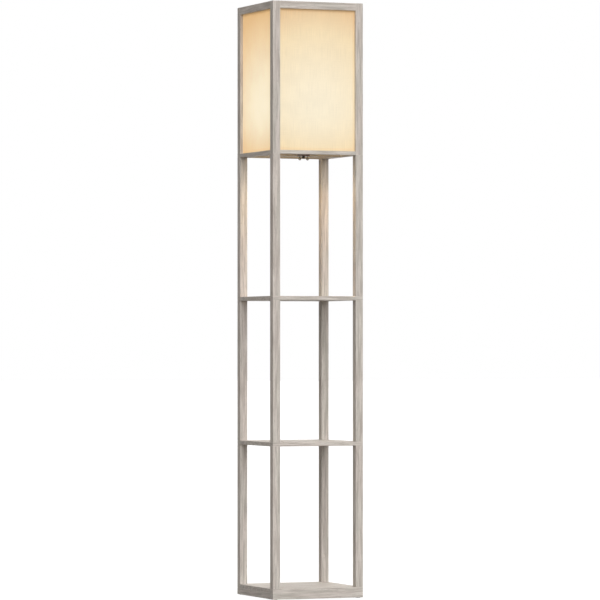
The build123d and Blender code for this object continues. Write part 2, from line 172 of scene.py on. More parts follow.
class ShelfLampStage(bpy.types.PropertyGroup):
    """Camera and studio light; a strength is what a white surface facing the light gives back"""

    lens: number_property("Lens", "Focal length in millimetres on a 36 mm sensor", 234.3, min=1.0)
    camera_height: length_property("Camera height", "Height of the lens over the floor", 678.0)
    key_strength: number_property("Key light", "Strength of the light from the front left", 1.13)
    fill_strength: number_property("Fill light", "Strength of the light from behind", 0.95)
    top_strength: number_property("Top light", "Strength of the light from above", 0.45)
    sky_strength: number_property("Sky light", "Even light from all round", 0.04)
    bulb_power: number_property(
        "Bulb in the box", "Warm light inside the light box", 0.22, unit="POWER"
    )
    bulb_power_below: number_property(
        "Bulb below", "Warm light under the light box", 7.0, unit="POWER"
    )


# ---------------- nodes

# Settings that several nodes share: a Mapping node of type TEXTURE takes real sizes as its scale
REAL_SIZE = {"vector_type": "TEXTURE"}
SMOOTH = {"interpolation_type": "SMOOTHSTEP"}


def add_node(tree, kind, inputs=None, output=0, **settings):
    """Adds a node with its settings and links and gives back one of its outputs. An input is
    a plain value, or another node's output that feeds it."""
    node = tree.nodes.new(kind)
    for name, value in settings.items():
        setattr(node, name, value)
    for name, value in (inputs or {}).items():
        if isinstance(value, bpy.types.NodeSocket):
            tree.links.new(value, node.inputs[name])
        else:
            node.inputs[name].default_value = value
    return node.outputs[output] if node.outputs else None


def compute(tree, operation, *values):
    """Adds a Math node, with its values in their order."""
    return add_node(tree, "ShaderNodeMath", dict(enumerate(values)), operation=operation)


def mix(tree, share, first, second, **settings):
    """Adds a Mix node for colours: they go to inputs 6 and 7, and the result is output 2."""
    inputs = {0: share, 6: first, 7: second}
    return add_node(tree, "ShaderNodeMix", inputs, 2, data_type="RGBA", **settings)


def add_surface(tree, sockets):
    """Ends a material's tree in a Principled shader."""
    shader = add_node(tree, "ShaderNodeBsdfPrincipled", sockets)
    add_node(tree, "ShaderNodeOutputMaterial", {"Surface": shader})


def new_material(name):
    """Material with an empty node tree."""
    material = bpy.data.materials.new(name)
    material.use_nodes = True
    material.node_tree.nodes.clear()
    return material, material.node_tree


def opaque(colour, factor=1.0):
    return [min(1.0, c * factor) for c in colour] + [1.0]


# ---------------- places taken from the frame


def middle_of(node):
    low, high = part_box(node)
    return (low + high) / 2


def half_width(node):
    low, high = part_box(node)
    return (high.x - low.x) / 2


def bulb_centre():
    """Middle of the round part of the bulb."""
    return Vector((0, 0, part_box("bulb_globe")[1].z - half_width("bulb_globe")))


def shade_size():
    """Width and length of one shade panel."""
    low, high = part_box("shade_panel_front")
    return high.x - low.x, high.z - low.z


def hidden_edge():
    """How far a shade panel goes into the grooves of its posts and rails."""
    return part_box("head_post_front_left")[1].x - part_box("shade_panel_front")[0].x


# ---------------- wood

GRAIN_TURNS = {"X": (0, radians(90), 0), "Y": (radians(90), 0, 0), "Z": (0, 0, 0)}
# Grain from coarse to fine: width over the grain spacing, length over width, share of the tone
GRAIN_LAYERS = ((2.2, 14, 0.5), (1.0, 38, 0.35), (0.33, 60, 0.15))
# Width over the grain spacing and length over width
PATCH_SHAPE = (11, 5)
PORE_SHAPE = (0.36, 13)
# How far the fibres wander
SWAY = 8 * MM
# Share of the warm and cool patches in the colour
PATCH_SHARE = 0.22


def limed_oak(name, grain, shift):
    """Oak, planed, stained grey, limed and given a matt lacquer: fine pale and dark streaks
    along the fibres, short dark pores and slow changes of tone. Grain is the fibres' axis."""
    wood = bpy.context.scene.shelf_lamp_wood
    material, tree = new_material(name)
    place = add_node(tree, "ShaderNodeTexCoord", output="Object")
    turned = {"Location": shift, "Rotation": GRAIN_TURNS[grain]}

    def streaks(vector, width, stretch, detail):
        """Noise drawn out along the fibres."""
        across = wood.grain_spacing * width
        size = {"Vector": vector, "Scale": (across, across, across * stretch), **turned}
        drawn = add_node(tree, "ShaderNodeMapping", size, **REAL_SIZE)
        return add_node(
            tree, "ShaderNodeTexNoise", {"Vector": drawn, "Scale": 1.0, "Detail": detail}
        )

    # The fibres wander by a few millimetres over a hand's breadth
    breadth = {"Vector": place, "Scale": (0.05, 0.05, 0.15), **turned}
    slow = add_node(tree, "ShaderNodeMapping", breadth, **REAL_SIZE)
    wander = add_node(
        tree, "ShaderNodeTexNoise", {"Vector": slow, "Scale": 1.0, "Detail": 1.0}, "Color"
    )
    moved = {0: wander, 1: (SWAY, SWAY, SWAY), 2: place}
    fibres = add_node(tree, "ShaderNodeVectorMath", moved, operation="MULTIPLY_ADD")

    tone = 0.0
    for width, stretch, share in GRAIN_LAYERS:
        layer = streaks(fibres, width, stretch, 2.0)
        reach = {"Value": layer, "From Min": 0.35, "From Max": 0.65, "To Max": share}
        weighted = add_node(tree, "ShaderNodeMapRange", reach, **SMOOTH)
        tone = compute(tree, "ADD", weighted, tone)
    stained = mix(tree, tone, opaque(wood.dark), opaque(wood.light))

    # Slow patches lean to pink or to green
    patches = {"Value": streaks(place, *PATCH_SHAPE, 1.0), "From Min": 0.4, "From Max": 0.6}
    lean = add_node(tree, "ShaderNodeMapRange", patches, **SMOOTH)
    cast = mix(tree, lean, opaque(wood.blush), opaque(wood.moss))
    tinted = mix(tree, PATCH_SHARE, stained, cast)

    # Pores: short dark dashes, about a millimetre wide here so that they show
    dashes = streaks(fibres, *PORE_SHAPE, 1.0)
    darkest = {"Value": dashes, "From Min": 0.62, "From Max": 0.72, "To Max": 0.5}
    pores = add_node(tree, "ShaderNodeMapRange", darkest, **SMOOTH)
    pored = mix(tree, pores, tinted, opaque(wood.pore))

    # Rounded edges are painted lighter, a painted highlight along them: only there no face is
    # square to the board
    normal = add_node(tree, "ShaderNodeTexCoord", output="Normal")
    sizes = add_node(tree, "ShaderNodeVectorMath", {0: normal}, operation="ABSOLUTE")
    parts = add_node(tree, "ShaderNodeSeparateXYZ", {"Vector": sizes}).node.outputs
    larger = compute(tree, "MAXIMUM", parts["X"], parts["Y"])
    squareness = compute(tree, "MAXIMUM", larger, parts["Z"])
    edges = {"Value": squareness, "From Min": 0.8, "From Max": 0.99, "To Min": 0.35, "To Max": 0.0}
    edge_highlight = add_node(tree, "ShaderNodeMapRange", edges, **SMOOTH)
    edge_highlighted = mix(tree, edge_highlight, pored, opaque(wood.light))

    relief = compute(tree, "SUBTRACT", tone, pores)
    depth = {"Height": relief, "Distance": 0.1 * MM, "Strength": 0.6}
    gloss = {"Value": tone, "To Min": wood.roughness + 0.08, "To Max": wood.roughness - 0.04}
    lacquer = {
        "Base Color": edge_highlighted,
        "Roughness": add_node(tree, "ShaderNodeMapRange", gloss),
        "Normal": add_node(tree, "ShaderNodeBump", depth),
        "IOR": 1.4,
        "Specular IOR Level": 0.25,
    }
    add_surface(tree, lacquer)
    return material


# ---------------- linen and its light

# Distance from the bulb where its light starts to fall off
GLOW_START = 0.12
# Metres that a square metre of drop below the bulb adds, for the shadow of the lamp holder
HOLDER_SHADOW = 4.5
# Where the middle colour of the glow stands between the nearest and the furthest
GLOW_MIDDLE = 0.65
# Half the width of the step at a fold
FOLD = 0.4 * MM
# The top rail shades this much of the cloth below it
RAIL_SHADE = 8 * MM


def shade_lights():
    """How the bulb lights each shade: strength, how far its light reaches, where it seems to
    stand off the bulb's middle, the colours and the tints of the hem."""
    shade = bpy.context.scene.shelf_lamp_shade
    front = {
        "strength": 1.03,
        "reach": 0.295,
        "shift": (0, 0, 0),
        "middle": shade.glow_middle,
        "far": shade.glow_far,
        "hem_left": (1.0, 1.03, 1.08),
        "hem_right": (0.98, 0.92, 0.84),
        "hem_rails": (0.98, 0.92, 0.82),
    }
    # The studio light hardly reaches the left shade, so it glows more than the front
    side = {
        "strength": 1.33,
        "reach": 0.284,
        "shift": (0, -0.03, 0),
        "middle": shade.side_glow_middle,
        "far": shade.side_glow_far,
        "hem_left": (1.0, 1.0, 1.0),
        "hem_right": (1.1, 1.18, 1.36),
        "hem_rails": (0.97, 0.94, 0.88),
    }
    # The back and the right shade are in between
    rear = {"strength": 1.15}
    return {"front": front, "left": side, "back": {**front, **rear}, "right": {**side, **rear}}


def bulb_glow(tree, place, light):
    """Light through the cloth, which falls off with the distance from the bulb, and more
    below it, where the lamp holder stands in the way."""
    bulb = bulb_centre() + Vector(light["shift"])
    offset = add_node(tree, "ShaderNodeVectorMath", {0: place, 1: bulb}, operation="SUBTRACT")
    distance = add_node(tree, "ShaderNodeVectorMath", {0: offset}, "Value", operation="LENGTH")
    height = add_node(tree, "ShaderNodeSeparateXYZ", {"Vector": offset}, "Z")
    below = compute(tree, "MINIMUM", height, 0.0)
    drop = compute(tree, "MULTIPLY", below, below)
    far = compute(tree, "MULTIPLY_ADD", drop, HOLDER_SHADOW, distance)
    span = {"Value": far, "From Min": GLOW_START, "From Max": light["reach"]}
    fall = add_node(tree, "ShaderNodeMapRange", span)
    glow = add_node(tree, "ShaderNodeValToRGB", {"Fac": fall})
    ramp = glow.node.color_ramp
    ramp.elements[0].color = opaque(bpy.context.scene.shelf_lamp_shade.glow_near)
    ramp.elements[1].color = opaque(light["far"])
    ramp.elements.new(GLOW_MIDDLE).color = opaque(light["middle"])
    return glow


def hem_tint(tree, flat, light):
    """Along the posts and rails the hem is two layers of cloth, which changes the colour of
    its glow, and light comes out past its fold."""
    hem_width = bpy.context.scene.shelf_lamp_shade.hem
    width, length = shade_size()
    ways = (("Y", length, "hem_rails", "hem_rails"), ("X", width, "hem_left", "hem_right"))
    tint = WHITE
    for way, size, low, high in ways:
        across = add_node(tree, "ShaderNodeSeparateXYZ", {"Vector": flat}, way)
        out = compute(tree, "ABSOLUTE", across)
        edge = compute(tree, "SUBTRACT", size / 2 - hidden_edge(), out)
        fold = {"Value": edge, "From Min": hem_width + FOLD, "From Max": hem_width - FOLD}
        hem = add_node(tree, "ShaderNodeMapRange", fold, **SMOOTH)
        end = compute(tree, "GREATER_THAN", across, 0.0)
        doubled = mix(tree, end, [*light[low], 1], [*light[high], 1])
        tint = mix(tree, hem, tint, doubled)
    return tint


def top_rail_shade(tree, flat):
    """The top rail shades the cloth just below it."""
    up = add_node(tree, "ShaderNodeSeparateXYZ", {"Vector": flat}, "Y")
    below_rail = compute(tree, "SUBTRACT", shade_size()[1] / 2 - hidden_edge(), up)
    under = {"Value": below_rail, "From Max": RAIL_SHADE, "To Min": 0.55, "To Max": 1.0}
    return add_node(tree, "ShaderNodeMapRange", under, **SMOOTH)


def shade_linen(name, light):
    """Ivory linen, plain weave, glued to a stiff film: matt, with slubs and a weave that
    shows close up, and lit from behind by the bulb. The piece's UV map is in metres."""
    shade = bpy.context.scene.shelf_lamp_shade
    material, tree = new_material(name)
    flat = add_node(tree, "ShaderNodeUVMap", uv_map="cloth")
    place = add_node(tree, "ShaderNodeTexCoord", output="Object")

    # A wave's bands repeat every pi / 10 units, so the scale comes from the thread spacing
    weave = 1.0
    for way in ("X", "Y"):
        bands = {"Vector": flat, "Scale": pi / 10 / shade.thread_spacing, "Distortion": 0.6}
        threads = add_node(tree, "ShaderNodeTexWave", bands, "Fac", bands_direction=way)
        weave = compute(tree, "MULTIPLY", threads, weave)

    # Slubs: single thicker threads, a few centimetres long, most of them upright
    slub = shade.thread_spacing * 1.6
    upright, level = (slub, slub * 40, slub), (slub * 30, slub, slub)
    thickness = 0.0
    for shape, share in ((upright, 0.7), (level, 0.3)):
        drawn = add_node(tree, "ShaderNodeMapping", {"Vector": flat, "Scale": shape}, **REAL_SIZE)
        threads = add_node(
            tree, "ShaderNodeTexNoise", {"Vector": drawn, "Scale": 1.0, "Detail": 2.0}
        )
        thickness = compute(tree, "MULTIPLY_ADD", threads, share, thickness)
    span = {"Value": thickness, "From Min": 0.35, "From Max": 0.65}
    thick = {**span, "To Min": 1.03, "To Max": 0.965}
    slubs = add_node(tree, "ShaderNodeMapRange", thick, **SMOOTH)
    crossings = add_node(
        tree, "ShaderNodeMapRange", {"Value": weave, "To Min": 0.98, "To Max": 1.01}
    )
    shaded = compute(tree, "MULTIPLY", slubs, crossings)
    cloth = mix(tree, 1.0, opaque(shade.cloth), shaded, blend_type="MULTIPLY")

    # Slow cloudy patches a few centimetres across, painted into the light through the cloth
    glow_patch_size = {"Vector": place, "Scale": 1 / (45 * MM), "Detail": 2.0}
    cloudy = add_node(tree, "ShaderNodeTexNoise", glow_patch_size)
    patches = {"Value": cloudy, "From Min": 0.3, "From Max": 0.7, "To Min": 0.97, "To Max": 1.02}
    clouds = add_node(tree, "ShaderNodeMapRange", patches, **SMOOTH)
    uneven = compute(tree, "MULTIPLY", slubs, clouds)
    dimmed = compute(tree, "MULTIPLY", uneven, top_rail_shade(tree, flat))
    glow = {0: bulb_glow(tree, place, light), 1: hem_tint(tree, flat, light)}
    tinted = add_node(tree, "ShaderNodeVectorMath", glow, operation="MULTIPLY")
    lit = add_node(tree, "ShaderNodeVectorMath", {0: tinted, "Scale": dimmed}, operation="SCALE")

    relief = compute(tree, "ADD", weave, thickness)
    depth = {"Height": relief, "Distance": 0.12 * MM, "Strength": 0.5}
    linen = {
        "Base Color": cloth,
        "Roughness": 0.85,
        "IOR": 1.45,
        "Normal": add_node(tree, "ShaderNodeBump", depth),
        "Emission Color": lit,
        "Emission Strength": light["strength"],
    }
    add_surface(tree, linen)
    return material


def shade_film():
    """Polyester film, milky, glued to the inside of the linen: smooth with a satin sheen, lit
    by the bulb from just above the floor rails upwards."""
    shade = bpy.context.scene.shelf_lamp_shade
    material, tree = new_material("Polyester film, milky")
    place = add_node(tree, "ShaderNodeTexCoord", output="Object")
    ripple = add_node(
        tree, "ShaderNodeTexNoise", {"Vector": place, "Scale": 1 / (30 * MM), "Detail": 2.0}
    )
    film = mix(tree, ripple, opaque(linear("#D9D3C6")), opaque(linear("#E4DFD3")))
    height = add_node(tree, "ShaderNodeSeparateXYZ", {"Vector": place}, "Z")
    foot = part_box("shade_panel_front")[0].z
    span = {"Value": height, "From Min": foot, "From Max": bulb_centre().z}
    rise = add_node(tree, "ShaderNodeMapRange", span, **SMOOTH)
    glow = mix(tree, rise, opaque(shade.glow_far, 0.15), opaque(shade.glow_middle))
    surface = {"Base Color": film, "Roughness": 0.45, "IOR": 1.57}
    lit = {"Emission Color": glow, "Emission Strength": 0.55}
    add_surface(tree, {**surface, **lit})
    return material


# ---------------- other finishes


def grained(name, colour, grain_mm, roughness, contrast=0.12, stretch=1, relief_mm=0.02, **plain):
    """Moulded, plated, pressed or blown surface: its colour and gloss change a little over
    the size of its grain, which also gives a slight relief. The rest are plain sockets."""
    material, tree = new_material(name)
    place = add_node(tree, "ShaderNodeTexCoord", output="Object")
    size = (grain_mm * MM, grain_mm * MM, grain_mm * MM * stretch)
    drawn = add_node(tree, "ShaderNodeMapping", {"Vector": place, "Scale": size}, **REAL_SIZE)
    fine = {"Vector": drawn, "Scale": 1.0, "Detail": 3.0, "Roughness": 0.6}
    grain = add_node(tree, "ShaderNodeTexNoise", fine)
    reach = {"Value": grain, "From Min": 0.3, "From Max": 0.7}
    tone = add_node(tree, "ShaderNodeMapRange", reach, **SMOOTH)
    plain_colour = linear(colour) if isinstance(colour, str) else colour
    dark, light = opaque(plain_colour, 1 - contrast), opaque(plain_colour, 1 + contrast)
    tint = mix(tree, tone, dark, light)
    gloss = {"Value": tone, "To Min": roughness - 0.05, "To Max": roughness + 0.05}
    depth = {"Height": grain, "Distance": relief_mm * MM, "Strength": 0.5}
    surface = {
        "Base Color": tint,
        "Roughness": add_node(tree, "ShaderNodeMapRange", gloss),
        "Normal": add_node(tree, "ShaderNodeBump", depth),
    }
    surface.update({socket.replace("_", " "): value for socket, value in plain.items()})
    add_surface(tree, surface)
    return material


def opal_glass():
    """Glass, blown and coated opal inside: smooth and milky, lit from within and a little
    dimmer towards the neck."""
    fittings = bpy.context.scene.shelf_lamp_fittings
    material, tree = new_material("Opal glass, blown")
    place = add_node(tree, "ShaderNodeTexCoord", output="Object")
    coating = add_node(
        tree, "ShaderNodeTexNoise", {"Vector": place, "Scale": 1 / (6 * MM), "Detail": 3.0}
    )
    thin, thick = opaque(fittings.bulb_glass, 0.43), opaque(fittings.bulb_glass, 0.45)
    milk = mix(tree, coating, thin, thick)
    height = add_node(tree, "ShaderNodeSeparateXYZ", {"Vector": place}, "Z")
    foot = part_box("bulb_globe")[0].z
    span = {"Value": height, "From Min": foot, "From Max": bulb_centre().z}
    rise = add_node(tree, "ShaderNodeMapRange", span, **SMOOTH)
    neck_tint = (0.62, 0.5, 0.36)
    neck = [c * f for c, f in zip(fittings.bulb_glow, neck_tint)]
    glow = mix(tree, rise, opaque(neck), opaque(fittings.bulb_glow))
    surface = {"Base Color": milk, "Roughness": 0.22, "IOR": 1.5}
    lit = {"Emission Color": glow, "Emission Strength": 0.6}
    add_surface(tree, {**surface, **lit})
    return material


def give_material(names, material):
    for name in names:
        for slot in NODES[name].material_slots:
            slot.material = material


# ---------------- mesh helpers

FULL_TURN = {"axis": (0, 0, 1), "angle": tau, "use_merge": True}
# Turns what points up towards the front
LIE_DOWN = Matrix.Rotation(radians(90), 3, "X")


def add_object(name, data):
    """Puts an object in the scene, at the origin."""
    thing = bpy.data.objects.new(name, data)
    bpy.context.scene.collection.objects.link(thing)
    return thing


def add_mesh(bm, name, material, smooth):
    """Turns a bmesh into an object of one material."""
    for face in bm.faces:
        face.smooth = smooth
    mesh = bpy.data.meshes.new(name)
    bm.to_mesh(mesh)
    bm.free()
    mesh.materials.append(material)
    return add_object(name, mesh)


def finish_piece(bm, name, body, material, smooth=True):
    """Makes a piece that rides on a body and takes its finish from a slot."""
    piece = add_mesh(bm, name, material, smooth)
    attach(piece, body)
    return piece


def lathe(bm, outline, centre=(0, 0), steps=64):
    """Turns a closed outline of (radius, height) points about the upright axis at centre."""
    corners = [bm.verts.new((centre[0] + r, centre[1], z)) for r, z in outline]
    edges = [bm.edges.new((a, b)) for a, b in zip(corners, corners[1:] + corners[:1])]
    axis_foot = (centre[0], centre[1], 0)
    bmesh.ops.spin(bm, geom=corners + edges, cent=axis_foot, steps=steps, **FULL_TURN)


def round_edges(bm, edges, radius, segments):
    bmesh.ops.bevel(
        bm,
        geom=edges,
        offset=radius,
        segments=segments,
        profile=0.5,
        affect="EDGES",
        material=-1,
    )


def tidy(bm):
    """Merges doubles and turns every face outwards."""
    bmesh.ops.remove_doubles(bm, verts=bm.verts, dist=1e-6)
    bmesh.ops.dissolve_degenerate(bm, edges=bm.edges, dist=1e-7)
    bmesh.ops.recalc_face_normals(bm, faces=bm.faces)


def arc(centre_r, centre_z, radius, start, end, steps):
    """Points of an arc in the outline plane; angles in degrees from the radius direction."""
    angles = [radians(start + (end - start) * i / steps) for i in range(steps + 1)]
    return [(centre_r + radius * cos(a), centre_z + radius * sin(a)) for a in angles]


def flat_sheet(width, length, columns=1, rows=1):
    """A sheet in the XY plane, about the origin."""
    bm = bmesh.new()
    bmesh.ops.create_grid(bm, x_segments=columns, y_segments=rows, size=0.5)
    bmesh.ops.scale(bm, vec=(width, length, 1), verts=bm.verts)
    return bm


def map_flat(bm):
    """Gives a sheet that still lies flat a UV map in metres."""
    uv = bm.loops.layers.uv.new("cloth")
    for face in bm.faces:
        for loop in face.loops:
            loop[uv].uv = loop.vert.co.xy


def stand_up(bm, front, middle_z):
    """Takes a flat sheet from the XY plane to an upright one that faces the front."""
    bmesh.ops.transform(bm, matrix=Matrix.Rotation(radians(90), 4, "X"), verts=bm.verts)
    bmesh.ops.translate(bm, vec=(0, front, middle_z), verts=bm.verts)


def thicken(bm, thickness):
    """Gives an upright sheet its thickness, towards the inside of the box."""
    bmesh.ops.solidify(bm, geom=bm.faces, thickness=-thickness)
    bmesh.ops.recalc_face_normals(bm, faces=bm.faces)


# ---------------- wood and fasteners

# Each piece is cut from its own place in the plank, a fixed step from the last
PLANK_STEP = Vector((0.37, 0.61, 0.83))


class SHELFLAMP_OT_wooden_frame(bpy.types.Operator):
    """Gives every post, rail and board limed oak with the grain along it"""

    bl_idname = "shelf_lamp.wooden_frame"
    bl_label = "Wooden frame"

    def execute(self, context):
        grains = {}
        for corner in CORNER_NAMES:
            for part in ("lower_leg", "middle_leg", "upper_leg", "head_post"):
                grains[f"{part}_{corner}"] = "Z"
        for side in SIDE_ANGLES:
            for part in ("plinth_rail", "box_floor_rail", "box_top_rail"):
                grains[f"{part}_{side}"] = "X" if side in ("front", "back") else "Y"
        for name in ("bottom_board", "lower_shelf", "upper_shelf", "cross_bar"):
            grains[name] = "X"
        for index, (name, grain) in enumerate(sorted(grains.items())):
            words = name.replace("_", " ")
            oak = limed_oak(f"Limed oak, {words}", grain, PLANK_STEP * (index + 1))
            give_material([name], oak)
        return {"FINISHED"}


class SHELFLAMP_OT_frame_fasteners(bpy.types.Operator):
    """Gives the hidden studs, inserts and dowels their metals and wood"""

    bl_idname = "shelf_lamp.frame_fasteners"
    bl_label = "Frame fasteners"

    def execute(self, context):
        # Zinc on steel: bright, bluish, with a fine spangle
        zinc = grained("Steel, zinc plated", "#B4B9BE", 1.2, 0.35, Metallic=1.0)
        give_material(["tier_studs", "housing_screws", "holder_nipple", "holder_nuts"], zinc)
        # Zinc alloy as it leaves the die: duller and rougher than plating
        cast = grained("Zinc alloy, cast", "#A9A8A3", 0.7, 0.5, relief_mm=0.04, Metallic=1.0)
        give_material(["threaded_inserts"], cast)
        # Beech, turned and unfinished: close grain and small flecks
        beech = grained("Beech, turned", "#CDAE84", 1.0, 0.7, 0.15, stretch=6, relief_mm=0.05)
        give_material(["rail_dowels"], beech)
        return {"FINISHED"}


class SHELFLAMP_OT_glide_pads(bpy.types.Operator):
    """Makes the four felt pads under the plinth"""

    bl_idname = "shelf_lamp.glide_pads"
    bl_label = "Glide pads"

    def execute(self, context):
        low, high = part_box("glide_pads")
        radius = 7.0 * MM
        edge = 0.5 * MM
        out_x = (high.x - low.x) / 2 - radius
        out_y = (high.y - low.y) / 2 - radius
        outline = [(0, low.z), *arc(radius - edge, low.z + edge, edge, -90, 0, 4)]
        outline += [(radius, high.z), (0, high.z)]
        bm = bmesh.new()
        for way_x in (-1, 1):
            for way_y in (-1, 1):
                lathe(bm, outline, (way_x * out_x, way_y * out_y), 40)
        tidy(bm)
        # Wool felt, pressed: short matted fibres, quite matt, with a soft bloom at its edges
        wool = context.scene.shelf_lamp_fittings.felt
        bloom = {"Sheen_Weight": 0.4, "IOR": 1.45}
        felt = grained("Wool felt, pressed", wool, 0.5, 0.93, 0.4, 3, 0.2, **bloom)
        pads = finish_piece(bm, "felt_pads", "lamp_frame", felt)
        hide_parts("glide_pads")
        return {"FINISHED"}


# ---------------- shades

CLOTH_THICKNESS = 0.45 * MM
HEM_THICKNESS = 0.4 * MM
FILM_THICKNESS = 0.5 * MM
# Most that the slack cloth gives towards the film, and its patches of slack per metre
SLACK = 0.2 * MM
SLACK_PATCHES = 14
# Room between two layers
GAP = 0.05 * MM


class SHELFLAMP_OT_shades(bpy.types.Operator):
    """Makes the four linen shades, each with its hem and its stiff film"""

    bl_idname = "shelf_lamp.shades"
    bl_label = "Linen shades"

    def execute(self, context):
        width, length = shade_size()
        low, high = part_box("shade_panel_front")
        middle_z = (low.z + high.z) / 2
        hem_width = context.scene.shelf_lamp_shade.hem + hidden_edge()
        lights = shade_lights()
        milky = shade_film()
        for side, angle in SIDE_ANGLES.items():
            turn = Matrix.Rotation(radians(angle), 4, "Z")
            linen = shade_linen(f"Linen, plain weave, {side}", lights[side])

            bm = flat_sheet(width, length, columns=36, rows=60)
            map_flat(bm)
            stand_up(bm, low.y, middle_z)
            for vert in bm.verts:
                free_x = cos(pi * vert.co.x / width)
                free_z = cos(pi * (vert.co.z - middle_z) / length)
                patch = noise.noise(Vector((vert.co.x, vert.co.z, angle)) * SLACK_PATCHES)
                vert.co.y += SLACK * free_x * free_z * (0.5 + 0.5 * patch)
            thicken(bm, CLOTH_THICKNESS)
            bmesh.ops.transform(bm, matrix=turn, verts=bm.verts)
            cloth = finish_piece(bm, f"shade_cloth_{side}", "lamp_frame", linen)

            bm = flat_sheet(width, length)
            bmesh.ops.inset_region(
                bm, faces=bm.faces, thickness=hem_width, use_boundary=True, use_even_offset=True
            )
            inner = [f for f in bm.faces if f.calc_center_median().length < hem_width]
            bmesh.ops.delete(bm, geom=inner, context="FACES")
            map_flat(bm)
            stand_up(bm, low.y + CLOTH_THICKNESS + SLACK + GAP, middle_z)
            thicken(bm, HEM_THICKNESS)
            bmesh.ops.transform(bm, matrix=turn, verts=bm.verts)
            name = f"shade_hem_{side}"
            hem = finish_piece(bm, name, "lamp_frame", linen, smooth=False)

            bm = bmesh.new()
            bmesh.ops.create_cube(bm, size=1)
            bmesh.ops.scale(bm, vec=(width, FILM_THICKNESS - GAP, length), verts=bm.verts)
            film_y = high.y - FILM_THICKNESS / 2
            bmesh.ops.translate(bm, vec=(0, film_y, middle_z), verts=bm.verts)
            round_edges(bm, bm.edges, 0.1 * MM, 1)
            bmesh.ops.transform(bm, matrix=turn, verts=bm.verts)
            name = f"shade_film_{side}"
            film = finish_piece(bm, name, "lamp_frame", milky, smooth=False)

            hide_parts(f"shade_panel_{side}")
        return {"FINISHED"}


# ---------------- lamp holder and bulb

# Grip ribs of the holder's shell, which start a little over its cap
RIB_COUNT = 36
RIB_FOOT = 3 * MM
RIB_HEIGHT = 15 * MM
RIB_WIDTH = 1.4 * MM
RIB_RELIEF = 0.55 * MM
# The bulb's rolled thread: where it starts over the foot of the cap, its shape, the steps in a
# turn and in the outline of one wave, and the thickness of its sheet
THREAD_START = 5.2 * MM
THREAD_PITCH = 3.63 * MM
THREAD_DEPTH = 0.9 * MM
THREAD_TURNS = 5
THREAD_STEPS = 48
THREAD_WAVE = 8
CAP_SHEET = 0.25 * MM


class SHELFLAMP_OT_lamp_holder(bpy.types.Operator):
    """Finishes the lamp holder, its contact, shell and leads, and adds its grip ribs"""

    bl_idname = "shelf_lamp.lamp_holder"
    bl_label = "Lamp holder"

    def execute(self, context):
        black = context.scene.shelf_lamp_fittings.holder
        # Phenolic, moulded: hard, black and satin, with a faint mottle
        phenolic = grained("Phenolic, moulded black", black, 1.5, 0.34, 0.2, IOR=1.6)
        give_material(["holder_cap", "holder_shell"], phenolic)
        # Aluminium sheet, pressed: pale and softly shiny, a little uneven from the press
        sheet = grained("Aluminium sheet, pressed", "#C4C5C6", 0.8, 0.3, Metallic=1.0)
        give_material(["screw_shell"], sheet)
        # Brass, stamped: yellow, satin
        brass = grained("Brass, stamped", "#C4A052", 0.9, 0.32, Metallic=1.0)
        give_material(["centre_contact", "switch_contacts"], brass)
        # PVC insulation, extruded: black, smooth
        sleeve = grained("PVC insulation, extruded", "#22201F", 2, 0.4, 0.15, IOR=1.53)
        give_material(["holder_leads"], sleeve)

        # Grip ribs stand round the foot of the shell
        radius = half_width("holder_shell")
        middle_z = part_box("holder_cap")[1].z + RIB_FOOT + RIB_HEIGHT / 2
        bm = bmesh.new()
        for index in range(RIB_COUNT):
            before = set(bm.verts)
            bmesh.ops.create_cube(bm, size=1)
            verts = [v for v in bm.verts if v not in before]
            edges = [e for e in bm.edges if e.verts[0] in verts]
            turn = Matrix.Rotation(tau * index / RIB_COUNT, 3, "Z")
            bmesh.ops.scale(bm, vec=(2 * RIB_RELIEF, RIB_WIDTH, RIB_HEIGHT), verts=verts)
            bmesh.ops.translate(bm, vec=(radius, 0, middle_z), verts=verts)
            bmesh.ops.rotate(bm, cent=(0, 0, 0), matrix=turn, verts=verts)
            round_edges(bm, edges, 0.25 * MM, 2)
        bmesh.ops.recalc_face_normals(bm, faces=bm.faces)
        finish_piece(bm, "holder_ribs", "lamp_frame", phenolic)
        return {"FINISHED"}


